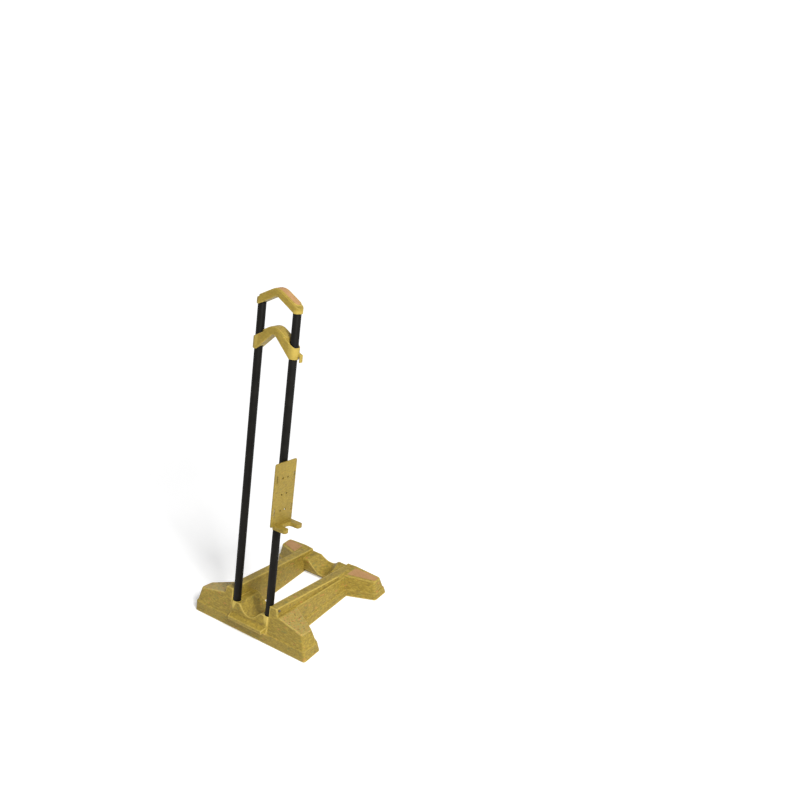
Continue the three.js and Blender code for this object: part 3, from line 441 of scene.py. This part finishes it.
TUBE_RADIUS = 0.010
TUBE_WALL = 0.0015
TUBE_SPACING = 0.106
TUBE_ENDS = (0.0263, 0.8437)
TUBE_LEAN = math.radians(11.78)
TUBE_FOOT_Y = -0.15855
TUBE_FOOT_Z = 0.0015
TUBE_EDGE = 0.0003
COAT_BLACK = (0.0045, 0.0040, 0.0032)
COAT_BROWN = (0.0090, 0.0080, 0.0064)


def powder_coat():
    material, tree, shader, place = bare_material("satin black coat")
    tone = ramp(tree, noise(tree, place, 35, 4.0), ((0.3, COAT_BLACK), (0.7, COAT_BROWN)))
    tree.links.new(tone, shader.inputs["Base Color"])
    uneven_gloss(tree, shader, place, 120, 4.0, 0.44, 0.54)
    shader.inputs["Specular IOR Level"].default_value = 0.10
    relief(tree, shader, noise(tree, place, 1300, 2.0), 0.16, 0.0003)
    return material


satin_black = powder_coat()
middle = sum(TUBE_ENDS) / 2
for side, sign in (("right", 1), ("left", -1)):
    bpy.ops.object.select_all(action="DESELECT")
    bpy.ops.mesh.primitive_cylinder_add(
        vertices=64, radius=TUBE_RADIUS, depth=TUBE_ENDS[1] - TUBE_ENDS[0], end_fill_type="NOTHING",
        location=(
            sign * TUBE_SPACING / 2, TUBE_FOOT_Y + middle * math.sin(TUBE_LEAN),
            TUBE_FOOT_Z + middle * math.cos(TUBE_LEAN),
        ),
        rotation=(-TUBE_LEAN, 0.0, 0.0),
    )
    tube = bpy.context.object
    tube.name = f"black_tube_{side}"
    bpy.ops.object.transform_apply()
    finish_shape(tube, "SOLIDIFY", thickness=TUBE_WALL, offset=-1.0)
    finish_shape(tube, "BEVEL", width=TUBE_EDGE, segments=2, limit_method="ANGLE", angle_limit=math.radians(50))
    bpy.ops.object.shade_smooth_by_angle(angle=math.radians(38))
    put_on(tube, [f"tube_{side}"], satin_black)


# Plugs and bushes: turned black acetal. The plugs stiffen the tube ends, and the bushes line the sleeves of
# the clamp and the collars so that these slide without scoring the coat.

BUSH_BLACK = (0.024, 0.024, 0.025)
BUSH_GREY = (0.045, 0.045, 0.046)
BUSH_EDGE = 0.0002


def turned_acetal():
    material, tree, shader, place = bare_material("black acetal")
    tone = ramp(tree, noise(tree, place, 220, 4.0), ((0.3, BUSH_BLACK), (0.75, BUSH_GREY)))
    tree.links.new(tone, shader.inputs["Base Color"])
    uneven_gloss(tree, shader, place, 260, 3.0, 0.42, 0.58)
    relief(tree, shader, noise(tree, place, 1400, 2.0), 0.1, 0.0002)
    return material


acetal = turned_acetal()
for node_name in sorted(frame["nodes"]):
    if "plug" in node_name or "bush" in node_name:
        off_the_lathe(node_name, f"turned_{node_name}", acetal, BUSH_EDGE)
for side in ("right", "left"):
    off_the_lathe(f"clamp_friction_ring_{side}", f"grip_ring_{side}", black_rubber, BUSH_EDGE)


# Handle: an arched moulding pushed over both tube ends and screwed from behind, with a raised rim round a
# strip of cork for the hand.

HANDLE_GRAIN = 0.0006

# The handle's and clamp's plastic: a weak painted highlight on outer edges and painted shade in inner corners
speckled_plastic = moulded_plastic(
    "speckled plastic", depth=0.06, speckle=0.45, highlight_share=0.35, coarse_feet=False,
)
out_of_the_mould(
    "handle_body", "handle_moulding", speckled_plastic, HANDLE_GRAIN, rounding=4,
)
out_of_the_mould("handle_grip", "handle_cork", cork, CORK_GRAIN, rounding=2)


# Tyre clamp: an arched moulding that slides on both tubes and is pressed down on the tyre, with a small hook
# on its outer sleeve.

CLAMP_GRAIN = 0.0006

out_of_the_mould("tyre_clamp", "clamp_moulding", speckled_plastic, CLAMP_GRAIN, rounding=4)


# Accessory plate: a moulded plate beside the hub with a two-pronged shelf, small holes and slots for straps.
# Two split collars carry it on its tube, each pinched by a screw and a nut.

PLATE_GRAIN = 0.0005

# The plate's plastic: no painted highlight, but painted shade in its inner corners
plate_plastic = moulded_plastic(
    "speckled plastic of the plate", depth=0.25, speckle=0.8, highlight_share=0.0, coarse_feet=False,
)
out_of_the_mould(
    "accessory_plate", "plate_moulding", plate_plastic, PLATE_GRAIN, rounding=2,
)
for level in ("lower", "upper"):
    out_of_the_mould(
        f"plate_collar_{level}", f"collar_moulding_{level}", plate_plastic, PLATE_GRAIN,
        rounding=3,
    )


# Studio: a pale floor that runs out of sight and glows more with distance, a white surrounding, and three soft
# lamps, the strongest from the plate's side. The camera stands ahead of the stand, on that side and above it.

FLOOR_SIZE = 40.0
FLOOR_PALE = (0.90, 0.90, 0.90)
FLOOR_WORN = (0.8865, 0.8865, 0.8865)
FLOOR_LIFT = 0.36
FLOOR_LIFT_FAR = 0.80
FLOOR_LIFT_RISE = (0.5, 3.0)
SURROUND = (1.0, 1.0, 1.0)
SURROUND_LIGHT = 0.24
LAMPS = (
    ("plate_side_lamp", (2.62, -1.12, 3.05), 1.1, 166.0),
    ("front_lamp", (-1.2, -3.2, 2.4), 2.6, 6.0),
    ("top_lamp", (0.2, 0.2, 3.6), 2.6, 3.0),
)
LAMP_TARGET = Vector((0.0, 0.0, 0.3))
CAMERA_PLACE = (1.59859, -1.75346, 1.77691)
CAMERA_AZIMUTH = 35.51
CAMERA_ELEVATION = 26.711
CAMERA_LENS = 50.0
CAMERA_SENSOR = 36.0


def seen_directly(tree):
    """1 for rays from the camera, from gloss and through glass"""
    path = tree.nodes.new("ShaderNodeLightPath").outputs
    either = maths(tree, "MAXIMUM", path["Is Camera Ray"], path["Is Glossy Ray"])
    return maths(tree, "MAXIMUM", either, path["Is Transmission Ray"])


bpy.ops.object.select_all(action="DESELECT")
bpy.ops.mesh.primitive_plane_add(size=FLOOR_SIZE)
floor = bpy.context.object
floor.name = "studio_floor"
floor_material, floor_tree, floor_shader, floor_place = bare_material("pale floor")
floor_tone = mix(floor_tree, noise(floor_tree, floor_place, 2.0), FLOOR_PALE, FLOOR_WORN)
floor_tree.links.new(floor_tone, floor_shader.inputs["Base Color"])
floor_shader.inputs["Roughness"].default_value = 0.9
floor_shader.inputs["Emission Color"].default_value = (*SURROUND, 1.0)
floor_reach = floor_tree.nodes.new("ShaderNodeVectorMath")
floor_reach.operation = "LENGTH"
floor_tree.links.new(floor_place, floor_reach.inputs[0])
floor_glow = between(floor_tree, floor_reach.outputs["Value"], *FLOOR_LIFT_RISE, FLOOR_LIFT, FLOOR_LIFT_FAR)
floor_lift = maths(floor_tree, "MULTIPLY", seen_directly(floor_tree), floor_glow)
floor_tree.links.new(floor_lift, floor_shader.inputs["Emission Strength"])
floor.data.materials.append(floor_material)

world = bpy.data.worlds.new("white surround")
bpy.context.scene.world = world
world.use_nodes = True
surround = world.node_tree.nodes["Background"]
surround.inputs["Color"].default_value = (*SURROUND, 1.0)
seen = seen_directly(world.node_tree)
strength = between(world.node_tree, seen, 0.0, 1.0, to_low=SURROUND_LIGHT)
world.node_tree.links.new(strength, surround.inputs["Strength"])

for name, place, size, power in LAMPS:
    lamp = bpy.data.objects.new(name, bpy.data.lights.new(name, "AREA"))
    lamp.data.size = size
    lamp.data.energy = power
    lamp.location = place
    lamp.rotation_euler = (LAMP_TARGET - Vector(place)).to_track_quat("-Z", "Y").to_euler()
    bpy.context.scene.collection.objects.link(lamp)

camera = bpy.data.objects.new("camera", bpy.data.cameras.new("camera"))
camera.data.lens = CAMERA_LENS
camera.data.sensor_width = CAMERA_SENSOR
camera.location = CAMERA_PLACE
camera.rotation_euler = (math.radians(90 - CAMERA_ELEVATION), 0.0, math.radians(CAMERA_AZIMUTH))
bpy.context.scene.collection.objects.link(camera)
bpy.context.scene.camera = camera
bpy.context.scene.view_settings.view_transform = "Standard"
